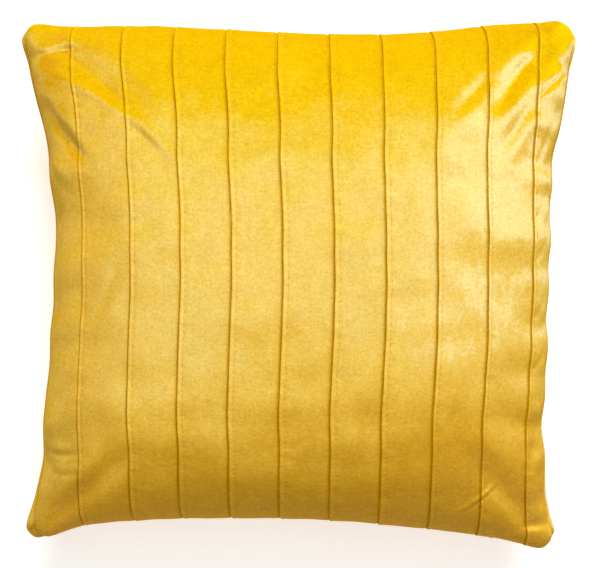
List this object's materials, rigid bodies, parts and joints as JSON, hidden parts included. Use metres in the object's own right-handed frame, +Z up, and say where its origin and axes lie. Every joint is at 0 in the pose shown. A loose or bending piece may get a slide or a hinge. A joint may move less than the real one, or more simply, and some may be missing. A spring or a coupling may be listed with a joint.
{
  "type": "throw pillow",
  "caption": "Square velvet throw pillow with upright pin tucks down the front, a plain back, a concealed zip in one edge and a fibre-filled insert.",
  "frame": {"origin": "under the middle of the pillow's bounding box, on the surface that it lies on, back down", "axes": "+Z up through the thickness, out of the tucked front; +X across the tucks; +Y along the tucks, away from the zip"},
  "size_m": [0.4383, 0.4164, 0.1196],
  "materials": {
    "velvet": "mustard cotton velvet, short pile",
    "thread": "mustard polyester sewing thread",
    "zip_tape": "woven polyester tape",
    "zip_coil": "nylon coil, satin",
    "zip_metal": "zinc, colour-matched enamel",
    "label": "woven satin tape, blank",
    "calico": "plain-woven cotton, unbleached",
    "filling": "loose polyester fibre"
  },
  "bodies": {
    "cover": {"front_panel": "velvet", "back_panel": "velvet", "tuck_thread_01": "thread", "tuck_thread_02": "thread", "tuck_thread_03": "thread", "tuck_thread_04": "thread", "tuck_thread_05": "thread", "tuck_thread_06": "thread", "tuck_thread_07": "thread", "tuck_thread_08": "thread", "tuck_thread_09": "thread", "tuck_thread_10": "thread", "edge_seam_thread": "thread", "care_label": "label", "zipper_coil_front": "zip_coil", "zipper_tape_front": "zip_tape", "zipper_stitching_front": "thread", "zipper_top_stop_front": "zip_metal", "zipper_coil_back": "zip_coil", "zipper_tape_back": "zip_tape", "zipper_stitching_back": "thread", "zipper_top_stop_back": "zip_metal", "zipper_bottom_stop": "zip_metal", "insert_casing_front": "calico", "insert_casing_back": "calico", "insert_seam_thread": "calico", "insert_filling": "filling"},
    "slider": {"zipper_slider": "zip_metal"},
    "pull": {"zipper_pull": "zip_metal"}
  },
  "joints": [
    {"name": "zip_travel", "type": "hinge", "parent": "cover", "child": "slider", "pos_m": [-0.05, -1.4602, 0.06], "axis": [0, 0, 1], "range_deg": [0, 13.8]},
    {"name": "pull_tab_swing", "type": "hinge", "parent": "slider", "child": "pull", "pos_m": [0.15319, -0.20129, 0.06], "axis": [-0.9872, 0.1593, 0], "range_deg": [0, 90]}
  ]
}
